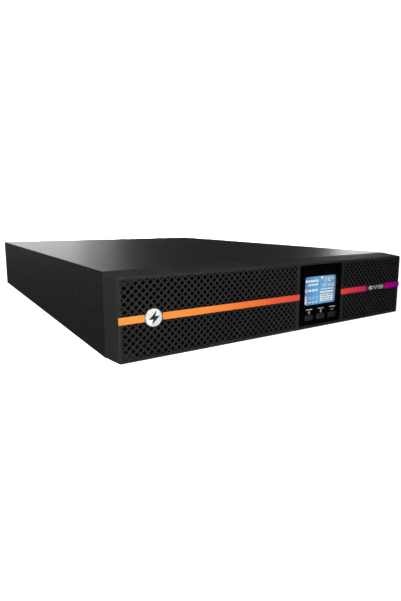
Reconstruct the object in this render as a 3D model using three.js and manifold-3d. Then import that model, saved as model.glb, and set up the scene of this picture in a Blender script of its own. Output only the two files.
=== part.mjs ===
// A two-unit rack or tower uninterruptible power supply, in millimetres.
// +Z is up, the front bezel faces -Y, and +X is to the right as seen from the front.
// The origin is at the middle of the whole object's length and width, on the underside.
// The battery drawer and the bezel pull out along -Y, the display module pulls out along -Y
// and turns about its own spigot, and the fans turn about +Y.

import * as THREE from "three";
import { mergeVertices } from "three/addons/utils/BufferGeometryUtils.js";
import Module from "manifold-3d";

const wasm = await Module();
wasm.setup();

// ---- Driving dimensions ----

const WIDTH = 438;
const HEIGHT = 86.5;
const CHASSIS_LENGTH = 600;
const BEZEL_DEPTH = 30;
const BADGE_PROUD = 1;
const REAR_REACH = 8; // the thumbscrews stand this far behind the rear panel
const SHEET = 1.2; // sheet steel
const GAP = 0.3; // between pieces that rest on each other
const SKIN = 2.5; // moulded bezel wall

const FRONT_Y = -(BADGE_PROUD + BEZEL_DEPTH + CHASSIS_LENGTH + REAR_REACH) / 2;
const FACE_Y = FRONT_Y + BADGE_PROUD; // the bezel's front face
const JOINT_Y = FACE_Y + BEZEL_DEPTH; // where the bezel meets the chassis
const REAR_Y = JOINT_Y + CHASSIS_LENGTH; // the rear panel's outer face
const HALF = WIDTH / 2;
const SEAM_Z = 43; // the cover's skirt meets the base tray's wall here
const FRAME_Y = JOINT_Y + 2; // front face of the inner front frame
const INSIDE_Z = [SHEET + GAP, HEIGHT - SHEET - GAP]; // clear height inside the case

// ---- Finishes: colour, roughness, metalness ----

const FINISHES = {
  coat: [0x232324, 0.55, 0.3],
  zinc: [0xb4b6b8, 0.35, 0.9],
  abs: [0x2b2b2c, 0.6, 0],
  gloss: [0x050506, 0.12, 0],
  screen: [0x3f86cc, 0.2, 0],
  key: [0x3a3a3c, 0.7, 0],
  orange: [0xffa03c, 0.4, 0],
  coral: [0xff6a38, 0.4, 0],
  red: [0xdc3340, 0.4, 0],
  purple: [0x8f008c, 0.4, 0],
  white: [0xf4f4f4, 0.4, 0],
  black: [0x101011, 0.5, 0],
  aluminium: [0xa8abad, 0.4, 0.9],
  board: [0x1d5a36, 0.5, 0],
  ferrite: [0x34363a, 0.6, 0.2],
  sleeve: [0x20242c, 0.5, 0],
  cell: [0x54575c, 0.6, 0],
  plug: [0x8c1c1c, 0.5, 0],
  green: [0x2a7a3f, 0.5, 0],
  brass: [0xb08d3c, 0.35, 0.9],
};

function finish(name) {
  const [color, roughness, metalness] = FINISHES[name];
  return new THREE.MeshStandardMaterial({ color, roughness, metalness });
}

// ---- Solids ----

// A closed three.js geometry as a solid that can be joined and cut.
function solid(geometry) {
  const loose = geometry.index ? geometry.toNonIndexed() : geometry;
  const points = new THREE.BufferGeometry();
  points.setAttribute("position", loose.getAttribute("position"));
  const merged = mergeVertices(points, 1e-3);
  return new wasm.Manifold(
    new wasm.Mesh({
      numProp: 3,
      vertProperties: merged.attributes.position.array,
      triVerts: new Uint32Array(merged.index.array),
    }),
  );
}

function geometryOf(shape) {
  const mesh = shape.getMesh();
  const points = new Float32Array(mesh.numVert * 3);
  for (let i = 0; i < mesh.numVert; i++) {
    points.set(mesh.vertProperties.subarray(i * mesh.numProp, i * mesh.numProp + 3), i * 3);
  }
  const geometry = new THREE.BufferGeometry();
  geometry.setAttribute("position", new THREE.BufferAttribute(points, 3));
  geometry.setIndex(new THREE.BufferAttribute(mesh.triVerts, 1));
  geometry.computeVertexNormals();
  return geometry;
}

const join = (shapes) => shapes.reduce((whole, piece) => whole.add(piece));
const cut = (shape, holes) => holes.reduce((left, hole) => left.subtract(hole), shape);

// A box between two corners.
function block([x0, x1], [y0, y1], [z0, z1]) {
  const box = new THREE.BoxGeometry(x1 - x0, y1 - y0, z1 - z0);
  return solid(box.translate((x0 + x1) / 2, (y0 + y1) / 2, (z0 + z1) / 2));
}

// A box about a middle in X and Z, between two places in Y.
const plate = (x, z, width, height, [y0, y1]) =>
  block([x - width / 2, x + width / 2], [y0, y1], [z - height / 2, z + height / 2]);

// A cylinder along X, Y or Z through the point at, reaching from low to high on its axis.
function rod(axis, radius, [low, high], at, sides = 24, endRadius = radius) {
  const shape = new THREE.CylinderGeometry(endRadius, radius, high - low, sides);
  const middle = (low + high) / 2;
  if (axis === "x") shape.rotateZ(-Math.PI / 2).translate(middle, at[0], at[1]);
  if (axis === "y") shape.translate(at[0], middle, at[1]);
  if (axis === "z") shape.rotateX(Math.PI / 2).translate(at[0], at[1], middle);
  return solid(shape);
}

// An outline in X and Z, extruded along Y.
function prism(outline, [y0, y1]) {
  const shape = new THREE.Shape(outline.map(([x, z]) => new THREE.Vector2(x, z)));
  const made = new THREE.ExtrudeGeometry(shape, { depth: y1 - y0, bevelEnabled: false });
  return solid(made.rotateX(Math.PI / 2).translate(0, y1, 0));
}

// A block whose front face is smaller than its back face. Each face is [x, z0, z1], x half the width.
function tapered(front, back, [y0, y1]) {
  const box = new THREE.BoxGeometry(2, 2, 2);
  const places = box.getAttribute("position");
  for (let i = 0; i < places.count; i++) {
    const [half, low, high] = places.getY(i) < 0 ? front : back;
    const x = places.getX(i) * half;
    const z = places.getZ(i) < 0 ? low : high;
    places.setXYZ(i, x, places.getY(i) < 0 ? y0 : y1, z);
  }
  return solid(box);
}

function part(name, shape, material, at = [0, 0, 0]) {
  const mesh = new THREE.Mesh(geometryOf(shape), finish(material));
  mesh.name = name;
  mesh.position.set(...at);
  return mesh;
}

function group(parts, at = [0, 0, 0]) {
  const made = new THREE.Group();
  made.add(...parts);
  made.position.set(...at);
  return made;
}

// ---- Chassis: base tray, top cover, front frame, rear panel, bay divider ----

const SCREW_YS = [-200, 200]; // the cover's side screws
const SCREW_Z = 52;
const EAR_YS = [JOINT_Y + 15, JOINT_Y + 45]; // tapped holes for rack ears
const EAR_ZS = [18, 68.5];
const EAR_RADIUS = 1.65;
const WALL_IN = HALF - SHEET;
const TONGUE_OUT = WALL_IN - GAP; // the tray's tongue stands behind the cover's skirt
const TONGUE_IN = TONGUE_OUT - SHEET;
const TONGUE_TOP = 62;

const BAY_X = [-211.5, -9.5]; // opening for the battery drawer in the front frame
const BAY_TOP = 82.5;
const BAY_END_Y = 180;
const DIVIDER_X = [-8.9, -7.7];
const SOCKET = { x: 3.5, z: 42.5, width: 20, height: 38 }; // battery connector
const FLANGE = 12; // folded edge of the front frame
const VENTS = { x: 157, z: 42.5, columns: 7, rows: 4, pitch: [14, 18], size: [10, 13] };

const earHoles = (z) =>
  EAR_YS.flatMap((y) => [
    rod("x", EAR_RADIUS, [-HALF - 1, -HALF + 3], [y, z], 16),
    rod("x", EAR_RADIUS, [HALF - 3, HALF + 1], [y, z], 16),
  ]);

const sideScrewHoles = (radius) =>
  SCREW_YS.flatMap((y) => [
    rod("x", radius, [-HALF - 1, -TONGUE_IN + 1], [y, SCREW_Z], 16),
    rod("x", radius, [TONGUE_IN - 1, HALF + 1], [y, SCREW_Z], 16),
  ]);

function baseTray() {
  const wallTop = SEAM_Z - GAP;
  const ledge = wallTop - SHEET;
  const outer = [[-HALF, 0], [HALF, 0], [HALF, wallTop], [WALL_IN, wallTop]];
  const inner = [[WALL_IN, SHEET], [-WALL_IN, SHEET], [-WALL_IN, wallTop], [-HALF, wallTop]];
  const walls = prism([...outer, ...inner], [JOINT_Y, REAR_Y]);
  const tongues = [-1, 1].map((side) => {
    const outline = [[TONGUE_IN, ledge], [HALF - 0.5, ledge], [HALF - 0.5, wallTop - 0.2]];
    outline.push([TONGUE_OUT, wallTop - 0.2], [TONGUE_OUT, TONGUE_TOP], [TONGUE_IN, TONGUE_TOP]);
    return prism(outline.map(([x, z]) => [side * x, z]), [JOINT_Y + 8, REAR_Y - 8]);
  });
  return cut(join([walls, ...tongues]), [...earHoles(EAR_ZS[0]), ...sideScrewHoles(1.8)]);
}

function topCover() {
  const low = SEAM_Z + GAP;
  const under = HEIGHT - SHEET;
  const outer = [[HALF, low], [HALF, HEIGHT], [-HALF, HEIGHT], [-HALF, low]];
  const inner = [[-WALL_IN, low], [-WALL_IN, under], [WALL_IN, under], [WALL_IN, low]];
  const shell = prism([...outer, ...inner], [JOINT_Y, REAR_Y]);
  return cut(shell, [...earHoles(EAR_ZS[1]), ...sideScrewHoles(3.7)]);
}

// A flush cover screw along X, its head outwards on the given side.
function sideScrew(side) {
  const head = rod("x", 3.3, [HALF - 1, HALF - 0.1], [0, 0], 16);
  const shank = rod("x", 1.5, [TONGUE_IN - 4, HALF - 0.5], [0, 0], 12);
  const screw = head.add(shank);
  return side < 0 ? screw.rotate([0, 0, 180]) : screw;
}

// Openings in a plate for a grid of vents, about the origin.
function ventGrid({ columns, rows, pitch, size }, yRange) {
  const holes = [];
  for (let column = 0; column < columns; column++) {
    for (let row = 0; row < rows; row++) {
      const x = (column - (columns - 1) / 2) * pitch[0];
      const z = (row - (rows - 1) / 2) * pitch[1];
      holes.push(plate(x, z, size[0], size[1], yRange));
    }
  }
  return join(holes);
}

const CARRIER_RADIUS = 24;

function frontFrame() {
  const deep = [FRAME_Y - 1, FRAME_Y + SHEET + 1];
  const [low, high] = INSIDE_Z;
  const folded = [FRAME_Y, FRAME_Y + FLANGE];
  const sheet = block([-TONGUE_OUT, TONGUE_OUT], [FRAME_Y, FRAME_Y + SHEET], INSIDE_Z);
  const topFlange = block([-TONGUE_IN, TONGUE_IN], folded, [high - SHEET, high]);
  const footFlange = block([BAY_X[1] + 24.5, TONGUE_IN], folded, [low, low + SHEET]);
  const vents = ventGrid(VENTS, deep).translate([VENTS.x, 0, VENTS.z]);
  const notches = [-1, 1].flatMap((side) =>
    LATCH.zs.map((z) => plate(side * (TONGUE_OUT - 1.2), z, LATCH.width + 2.2, LATCH.height + 2, deep)),
  );
  return cut(join([sheet, topFlange, footFlange]), [
    block(BAY_X, deep, [0, BAY_TOP]),
    rod("y", CARRIER_RADIUS + 2 * GAP, deep, [DISPLAY.x, DISPLAY.z], 32),
    plate(SOCKET.x, SOCKET.z, SOCKET.width + 2 * GAP, SOCKET.height + 2 * GAP, deep),
    vents,
    ...notches,
  ]);
}

function bayDivider() {
  const [low, high] = INSIDE_Z;
  const tall = [low, high - SHEET - GAP];
  return join([
    block(DIVIDER_X, [FRAME_Y + SHEET + GAP, BAY_END_Y + SHEET], tall),
    block([-TONGUE_IN + GAP, DIVIDER_X[1]], [BAY_END_Y, BAY_END_Y + SHEET], tall),
    block([DIVIDER_X[0], DIVIDER_X[1] + 9.2], [JOINT_Y + 38.5, BAY_END_Y], [low, low + SHEET]),
  ]);
}

// ---- Rear panel and what is on it: x and z are the middles of the fittings ----

const FAN = { size: 80, depth: 25, bore: 37.5, xs: [-174, -90], z: 43.25, hole: 35.75 };
const SLOT = { x: -12, z: 61, width: 62, height: 40, screw: 26.5 };
const SLOT_OPENING = { x: SLOT.x, z: SLOT.z, body: [45.4, 29.4] };
const SERIAL = { x: -27, z: 27, flange: [31, 12.4], body: [20, 10] };
const USB = { x: -2, z: 27, body: [12, 11] };
const SHUTDOWN = { x: 12.5, z: 27, body: [11, 9] };
const JACKS = { x: -22, z: 11.5, body: [32, 14] };
const STUD = { x: 8, z: 11.5 };
const BANK = { xs: [56, 122], z: 43, flange: [62, 62], body: [58, 58] };
const BIG_OUTLET = { x: 187, z: 62.5, flange: [44, 34], body: [38, 28] };
const INLET = { x: 180, z: 24, flange: [40, 34], body: [34, 26] };
const BREAKER = { x: 209, z: 24 };

function rearPanel() {
  const deep = [REAR_Y - SHEET - 1, REAR_Y + 1];
  const high = INSIDE_Z[1];
  const sheet = block([-TONGUE_OUT, TONGUE_OUT], [REAR_Y - SHEET, REAR_Y], INSIDE_Z);
  const flange = block([9 - HALF, HALF - 9], [REAR_Y - 11, REAR_Y], [high - SHEET, high]);
  const opening = ({ x, z, body: [width, height] }) =>
    plate(x, z, width + 2 * GAP, height + 2 * GAP, deep);
  const fittings = [SLOT_OPENING, SERIAL, USB, SHUTDOWN, JACKS, BIG_OUTLET, INLET];
  const fanHoles = FAN.xs.map((x) => rod("y", FAN.bore, deep, [x, FAN.z], 32));
  const bankHoles = BANK.xs.map((x) => opening({ ...BANK, x }));
  return cut(join([sheet, flange]), [
    ...fanHoles,
    ...bankHoles,
    ...fittings.map(opening),
    rod("y", 5.6, deep, [BREAKER.x, BREAKER.z], 24),
    rod("y", 2.8, deep, [STUD.x, STUD.z], 16),
    ...[-1, 1].map((side) => rod("y", 1.8, deep, [SLOT.x + side * SLOT.screw, SLOT.z], 16)),
  ]);
}

// The moulded flange outside the panel and the body inside it, local to the panel's outer face.
const SNAP_PROUD = 1.8;

function snapInBody({ flange, body }, depth) {
  return join([
    plate(0, 0, ...flange, [GAP, SNAP_PROUD]),
    plate(0, 0, ...body, [-depth, SNAP_PROUD]),
  ]);
}

// The six-sided outline of an appliance coupler, its two top corners cut off.
function couplerOutline(width, height, corner) {
  const [w, h] = [width / 2, height / 2];
  return [[-w, -h], [w, -h], [w, h - corner], [w - corner, h], [corner - w, h], [-w, h - corner]];
}

// The moat and the three pin slots of one outlet, to cut from its body.
function outletCuts(scale) {
  const moat = [SNAP_PROUD - 13, SNAP_PROUD + 1];
  const outer = prism(couplerOutline(26 * scale, 18.6 * scale, 5), moat);
  const core = prism(couplerOutline(22 * scale, 14.6 * scale, 4), [moat[0] - 1, moat[1] + 1]);
  const slot = (x, z) => plate(x, z, 2.4, 6.2, [SNAP_PROUD - 10, SNAP_PROUD + 1]);
  return join([outer.subtract(core), slot(-7 * scale, -1.6), slot(7 * scale, -1.6), slot(0, 2.4)]);
}

const HALF_CELL = 14.8; // from the middle of a bank to the middle of one of its four outlets

function outletBank() {
  const cells = [-1, 1].flatMap((x) =>
    [-1, 1].map((z) => outletCuts(1).translate([x * HALF_CELL, 0, z * HALF_CELL])),
  );
  return cut(snapInBody(BANK, 22), cells);
}

const bigOutlet = () => snapInBody(BIG_OUTLET, 26).subtract(outletCuts(1.25));

const INLET_CAVITY = { width: 30, height: 22, depth: 18 };

function powerInlet() {
  const { width, height, depth } = INLET_CAVITY;
  const cavity = plate(0, 0, width, height, [SNAP_PROUD - depth, 3]);
  const pin = (x, z) => plate(x, z, 2, 8, [1 - depth, -1]);
  return join([snapInBody(INLET, 24).subtract(cavity), pin(-6.5, -2), pin(6.5, -2), pin(0, 3)]);
}

function inputBreaker() {
  const bush = rod("y", 5.2, [-14, 4], [0, 0], 24);
  const nut = rod("y", 6.5, [GAP, 2.6], [0, 0], 6);
  const body = plate(0, 0, 13, 22, [-34, -SHEET - GAP]);
  return cut(join([body, bush, nut]), [rod("y", 3.9, [-6, 5], [0, 0], 24)]);
}

const breakerButton = () => rod("y", 3.5, [-5.6, 5], [0, 0], 24);

function usbPort() {
  const shell = plate(0, 0, ...USB.body, [-15, 0.8]);
  const cavity = plate(0, 0, 8.6, 7.8, [-8, 2]);
  const tongue = plate(0, 0.4, 5.6, 3, [-9, -0.6]);
  return shell.subtract(cavity).add(tongue);
}

function serialPort() {
  const outline = (w, h) => [[-w + 1.6, -h], [w - 1.6, -h], [w, h], [-w, h]];
  const flange = plate(0, 0, ...SERIAL.flange, [GAP, 1.2]);
  const body = plate(0, 0, ...SERIAL.body, [-12, 0.6]);
  const shell = prism(outline(9, 4.6), [0.6, 6]);
  const cavity = prism(outline(8.3, 3.9), [0.8, 7]);
  const jackscrews = [-12.5, 12.5].map((x) => rod("y", 2.6, [0.6, 5.5], [x, 0], 6));
  return join([flange, body, shell.subtract(cavity), ...jackscrews]);
}

const JACK = { width: 11.8, height: 8.2, depth: 12, pitch: 15 };

function networkJacks() {
  const body = plate(0, 0, ...JACKS.body, [-18, 0.8]);
  const sockets = [-1, 1].map((side) =>
    plate((side * JACK.pitch) / 2, -0.6, JACK.width, JACK.height, [0.8 - JACK.depth, 2]),
  );
  return cut(body, sockets);
}

function shutdownTerminal() {
  const body = plate(0, 0, ...SHUTDOWN.body, [-10, 5]);
  const holes = [-2.6, 2.6].map((x) => plate(x, -0.6, 3.4, 4, [0, 6]));
  return cut(body, holes);
}

function slotCover() {
  const sheet = plate(0, 0, SLOT.width, SLOT.height, [GAP, GAP + SHEET]);
  return cut(
    sheet,
    [-1, 1].map((side) => rod("y", 1.8, [0, 3], [side * SLOT.screw, 0], 16)),
  );
}

function thumbscrew() {
  const top = GAP + SHEET + GAP;
  return join([
    rod("y", 1.5, [-8, top + 1], [0, 0], 12),
    rod("y", 3.2, [top, top + 1.6], [0, 0], 20),
    rod("y", 4.6, [top + 1.5, REAR_REACH], [0, 0], 20),
  ]);
}

function groundStud() {
  return join([
    rod("y", 2.4, [-8, 7], [0, 0], 16),
    rod("y", 5, [GAP, 1], [0, 0], 20),
    rod("y", 4.4, [0.9, 4.4], [0, 0], 6),
  ]);
}

// ---- Fans, each about its own middle ----

const HUB_RADIUS = 17;
const BLADE_TIP = 35.2;
const BLADE_ANGLE = 55;
const BLADES = 7;
const CORNER_ANGLES = [45, 135, 225, 315];
const GUARD_RADII = [13, 21, 29, 37];

function fanHousing() {
  const half = FAN.depth / 2;
  const frame = plate(0, 0, FAN.size, FAN.size, [-half, half]);
  const corners = [-1, 1].flatMap((x) =>
    [-1, 1].map((z) => rod("y", 2.2, [-half - 1, half + 1], [x * FAN.hole, z * FAN.hole], 12)),
  );
  const bore = rod("y", FAN.bore, [-half - 1, half + 1], [0, 0], 40);
  const struts = [0, 1, 2].map((k) =>
    plate(19.25, 0, 39.5, 4, [-half, -half + 2.4]).rotate([0, k * 120 + 30, 0]),
  );
  const mount = rod("y", 16, [-half, -half + 3], [0, 0], 24);
  return join([cut(frame, [bore, ...corners]), mount, ...struts]);
}

function fanRotor() {
  const hub = rod("y", HUB_RADIUS, [-8.5, 10.5], [0, 0], 28);
  const blade = block([HUB_RADIUS - 2, BLADE_TIP], [-0.8, 0.8], [-8.2, 8.2]).rotate([BLADE_ANGLE, 0, 0]);
  const blades = Array.from({ length: BLADES }, (_, k) =>
    blade.rotate([0, (360 / BLADES) * k, 0]),
  );
  return join([hub, ...blades]);
}

function fanGuard() {
  const wire = 0.9;
  const ring = (radius) => {
    const torus = new THREE.TorusGeometry(radius, wire, 5, 20).rotateX(Math.PI / 2);
    return solid(torus).translate([0, 2.5, 0]);
  };
  const reach = FAN.hole * Math.SQRT2;
  const spokes = CORNER_ANGLES.map((angle) =>
    rod("x", wire, [4, reach], [1.6, 0], 6).rotate([0, angle, 0]),
  );
  const eyes = CORNER_ANGLES.map((angle) =>
    rod("y", 3.6, [0.4, 2.2], [reach, 0], 12).rotate([0, angle, 0]),
  );
  const middle = rod("y", 6, [1, 3], [0, 0], 16);
  return join([middle, ...GUARD_RADII.map(ring), ...spokes, ...eyes]);
}

// ---- Electronics ----

const BOARD_Z = 12;
const BOARD_X = [4, 208];
const BOARD_Y = [-150, 222];
const BOARD_THICK = 1.6;

function mainBoard() {
  const sheet = block(BOARD_X, BOARD_Y, [BOARD_Z, BOARD_Z + BOARD_THICK]);
  const standoffs = BOARD_X.map((x, k) => x + (k ? -10 : 10)).flatMap((x) =>
    [-138, 36, 210].map((y) => rod("z", 3.5, [SHEET + 2 * GAP, BOARD_Z + 0.5], [x, y], 6)),
  );
  const relays = [0, 1, 2, 3].map((k) =>
    block([20, 40], [110 + k * 26, 130 + k * 26], [BOARD_Z + 1, BOARD_Z + 21]),
  );
  const chokes = [0, 1].map((k) => rod("z", 13, [BOARD_Z + 1, BOARD_Z + 24], [75 + k * 36, 180], 20));
  const connectors = [60, 90].map((x) => block([x, x + 22], [-146, -136], [BOARD_Z + 1, BOARD_Z + 14]));
  return join([sheet, ...standoffs, ...relays, ...chokes, ...connectors]);
}

// A finned aluminium extrusion that runs along Y.
function heatsink() {
  const [fins, pitch, finThick] = [5, 7.5, 2];
  const length = [-85, 85];
  const lowest = BOARD_Z + 8;
  const bars = Array.from({ length: fins }, (_, k) =>
    block([0, 26], length, [lowest + k * pitch, lowest + finThick + k * pitch]),
  );
  const back = block([-5, 0.5], length, [BOARD_Z + 2, BOARD_Z + 12 + (fins - 1) * pitch]);
  return join([back, ...bars]);
}

function powerChoke() {
  const z = BOARD_Z + 2;
  const core = block([-30, 30], [-22, 22], [z, z + 54]);
  const coil = block([-17, 17], [-33, 33], [z + 6, z + 48]);
  return core.add(coil);
}

const capacitor = () => rod("z", 15, [BOARD_Z + 2, BOARD_Z + 47], [0, 0], 24);

// ---- Front bezel ----

const FACE = { half: HALF - 3, low: 1, high: HEIGHT - 3 };
const LATCH = { zs: [12, 74], width: 2.2, height: 8, front: 20, back: BEZEL_DEPTH + 8 };
const LATCH_BLOCK = { x: 207, width: 18, height: 14, y: [FACE_Y + 1, FACE_Y + 9] };
const HEADER_X = [10, 94.6]; // the bar above the display
const FINGER = { x: [18, 86.6], z: [79, 82.2] }; // the finger recess in that bar
const DISPLAY = { x: 52.3, z: 42.3, size: 73, opening: 74.4, proud: 0.8, depth: 15 };
const STRIPE = { z: 42.5, height: 7, proud: 0.6, groove: 0.9 };
const STRIPES = {
  stripe_start: { x: [-FACE.half, -189.8], material: "orange" },
  stripe_middle: { x: [-170.2, 14.8], material: "coral" },
  stripe_right: { x: [90.1, 141], material: "red" },
  stripe_end: { x: [183, FACE.half], material: "purple" },
};
const NAMEPLATE_X = [142.6, 181.4];
const BADGE = { x: -180, z: 42.2, radius: 8.75 };

function frontBezel() {
  const backY = JOINT_Y - GAP;
  const outer = tapered([FACE.half, FACE.low, FACE.high], [HALF, 0, HEIGHT], [FACE_Y, backY]);
  const inner = tapered(
    [FACE.half - SKIN, FACE.low + SKIN, FACE.high - SKIN],
    [HALF - SKIN, SKIN, HEIGHT - SKIN],
    [FACE_Y + SKIN, backY + 0.001],
  );
  const beyond = block(
    [-HALF + SKIN, HALF - SKIN],
    [backY - 0.1, backY + 1],
    [SKIN, HEIGHT - SKIN],
  );
  const header = block(HEADER_X, [FACE_Y + 1, FACE_Y + 7], [80.2, FACE.high - 1]);
  const latchY = [FACE_Y + LATCH.front, FACE_Y + LATCH.back];
  const latches = [-1, 1].flatMap((side) =>
    LATCH.zs.flatMap((z) => [
      plate(side * (TONGUE_OUT - 1.5), z, LATCH.width, LATCH.height, latchY),
      plate(side * LATCH_BLOCK.x, z, LATCH_BLOCK.width, LATCH_BLOCK.height, LATCH_BLOCK.y),
    ]),
  );
  const shell = join([cut(outer, [inner, beyond]), header, ...latches]);
  const through = [FACE_Y - 1, FACE_Y + SKIN + 6];
  const groove = [FACE_Y - 1, FACE_Y + STRIPE.groove];
  const strip = ([x0, x1]) =>
    block(
      [x0 - GAP, x1 + GAP],
      groove,
      [STRIPE.z - STRIPE.height / 2 - GAP, STRIPE.z + STRIPE.height / 2 + GAP],
    );
  const grooves = Object.values(STRIPES).map(({ x }) => strip(x));
  const fingerRecess = block(FINGER.x, [FACE_Y - 1, FACE_Y + 5], FINGER.z);
  return cut(shell, [
    plate(DISPLAY.x, DISPLAY.z, DISPLAY.opening, DISPLAY.opening, through),
    ...grooves,
    strip(NAMEPLATE_X),
    fingerRecess,
    rod("y", BADGE.radius + 0.8, [FACE_Y - 1, FACE_Y + 1.9], [BADGE.x, BADGE.z], 32),
    rod("y", 3.6, through, [BADGE.x, BADGE.z], 20),
  ]);
}

function stripe([x0, x1]) {
  const y = [FACE_Y - STRIPE.proud, FACE_Y + STRIPE.groove - GAP];
  return plate((x0 + x1) / 2, STRIPE.z, x1 - x0, STRIPE.height, y);
}

function badge() {
  return join([
    rod("y", BADGE.radius, [-BADGE_PROUD, 1.5], [0, 0], 32),
    rod("y", 3, [1, 4.2], [0, 0], 16),
    rod("y", 4.4, [SKIN + GAP, 4.2], [0, 0], 16),
  ]);
}

// ---- Display module, about its middle in X and Z and the bezel's face in Y ----

const PULL = 14;
const WINDOW_THICK = 1.6;
const RIM = 2;
const LCD = { z: 6.4, width: 58, height: 38.4 };
const KEY = { z: -27.3, width: 14, height: 6.2, xs: [-20.8, 0, 20.8] };
const HEAD_BACK = DISPLAY.depth - DISPLAY.proud;

function displayHousing() {
  const half = DISPLAY.size;
  const box = plate(0, 0, half, half, [-DISPLAY.proud, HEAD_BACK]);
  const hollow = plate(0, 0, half - 2 * RIM, half - 2 * RIM, [-2, HEAD_BACK - RIM]);
  const spigot = rod("y", 19.3, [HEAD_BACK - 1, HEAD_BACK + 28], [0, 0], 32);
  const bore = rod("y", 14, [0, HEAD_BACK + 29], [0, 0], 24);
  return cut(box.subtract(hollow).add(spigot), [bore]);
}

function displayCarrier() {
  const front = HEAD_BACK + GAP;
  const frameBack = FRAME_Y - FACE_Y + SHEET;
  const stop = frameBack + PULL + GAP;
  const tube = join([
    rod("y", CARRIER_RADIUS, [front, stop + SHEET], [0, 0], 32),
    rod("y", 30, [front, front + 1.6], [0, 0], 32),
    rod("y", 28, [stop, stop + 2.4], [0, 0], 32),
  ]);
  return cut(tube, [rod("y", 20, [front - 1, stop + 4], [0, 0], 32)]);
}

function displayWindow() {
  const size = DISPLAY.size - 2 * RIM - 2 * GAP;
  const deep = [-DISPLAY.proud, WINDOW_THICK - DISPLAY.proud];
  const sheet = plate(0, 0, size, size, deep);
  const keyholes = KEY.xs.map((x) =>
    plate(x, KEY.z, KEY.width + 0.8, KEY.height + 0.8, [deep[0] - 1, deep[1] + 1]),
  );
  return cut(sheet, keyholes);
}

function lcdPanel() {
  const front = WINDOW_THICK - DISPLAY.proud + GAP;
  return plate(0, LCD.z, LCD.width, LCD.height, [front, front + 4]);
}

function key() {
  const behind = WINDOW_THICK - DISPLAY.proud + GAP;
  return join([
    plate(0, 0, KEY.width, KEY.height, [-DISPLAY.proud - 0.1, behind + 0.5]),
    plate(0, 0, KEY.width + 2, KEY.height + 2, [behind, behind + 1]),
    plate(0, 0, 5, 4, [behind, behind + 5]),
  ]);
}

// ---- Battery drawer ----

const CELL = { length: 151, height: 94, thick: 65, pitch: 152.5, terminal: 5 };
const TRAY_X = [BAY_X[0] + 1, BAY_X[1] - 1];
const TRAY_Y = [FRAME_Y, BAY_END_Y - 3.8];
const TRAY_Z = 1.6;
const HANDLE = { x: -112, z: 48, half: 45, drop: 20, wire: 2.4, y: FRAME_Y - 4 };
const GROMMET = { x: -24, z: 46.5 };

function batteryTray() {
  const floor = [TRAY_Z, TRAY_Z + SHEET];
  const low = [TRAY_Z, 30];
  const tall = [TRAY_Z, 81.5];
  const ears = [-1, 1].map((side) => {
    const x = HANDLE.x + side * (HANDLE.half + 4);
    return block([x - 0.9, x + 0.9], [FRAME_Y - 8, FRAME_Y + 0.5], [HANDLE.z - 4, HANDLE.z + 4]);
  });
  const sheet = join([
    block(TRAY_X, TRAY_Y, floor),
    block([TRAY_X[0], TRAY_X[0] + SHEET], TRAY_Y, low),
    block([TRAY_X[1] - SHEET, TRAY_X[1]], TRAY_Y, low),
    block(TRAY_X, [TRAY_Y[1] - SHEET, TRAY_Y[1]], low),
    block(TRAY_X, [FRAME_Y, FRAME_Y + SHEET], tall),
    ...ears,
  ]);
  const pivots = rod("x", HANDLE.wire + 0.1, [HANDLE.x - 60, HANDLE.x + 60], [HANDLE.y, HANDLE.z], 16);
  const grommet = rod("y", 4.2, [FRAME_Y - 1, FRAME_Y + 2], [GROMMET.x, GROMMET.z], 20);
  return cut(sheet, [pivots, grommet]);
}

// A sealed lead-acid battery lying on its side, its terminals on the +X face.
function battery() {
  const { length, height, thick, terminal } = CELL;
  const tab = (y) =>
    join([
      block([height - 6, height + 1], [y - 8, y + 8], [thick - 26, thick - 8]),
      block([height, height + terminal], [y - 3, y + 3], [thick - 18.5, thick - 17.5]),
    ]);
  return join([
    block([0, height - 10], [0, length], [0, thick]),
    block([height - 10.5, height - 4], [1, length - 1], [1, thick - 1]),
    tab(22),
    tab(length - 22),
  ]);
}

// Round steel wire bent into a bail that hangs from its two pivots.
function trayHandle() {
  const { half, drop, wire } = HANDLE;
  const arm = (side) => rod("z", wire, [-drop, 0], [side * half, 0], 12);
  const end = (side) => rod("x", wire, side < 0 ? [-half - 7, -half] : [half, half + 7], [0, 0], 12);
  const elbow = (x, z) => solid(new THREE.SphereGeometry(wire * 1.02, 12, 8)).translate([x, 0, z]);
  const grip = rod("x", wire, [-half, half], [0, -drop], 12);
  return join([
    grip,
    ...[-1, 1].flatMap((side) => [
      arm(side),
      end(side),
      elbow(side * half, 0),
      elbow(side * half, -drop),
    ]),
  ]);
}

const PLUG = { width: 16, height: 34, y: [FRAME_Y - 8, FRAME_Y + 20] };

function batterySocket() {
  const { width, height, y } = PLUG;
  const sleeve = plate(SOCKET.x, SOCKET.z, width + 4, height + 4, [FRAME_Y - 2, y[1] + 4]);
  const flange = plate(SOCKET.x, SOCKET.z, 22.4, 44, [FRAME_Y - 2, FRAME_Y - GAP]);
  const recess = plate(SOCKET.x, SOCKET.z, width + 0.8, height + 0.8, [FRAME_Y - 3, y[1] + GAP]);
  return cut(join([sleeve, flange]), [recess]);
}

function batteryPlug() {
  const { width, height, y } = PLUG;
  const body = plate(SOCKET.x, SOCKET.z, width, height, y);
  const grip = plate(SOCKET.x, SOCKET.z, width - 4, height - 6, [y[0] - 3, y[0] + 1]);
  return body.add(grip);
}

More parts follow.
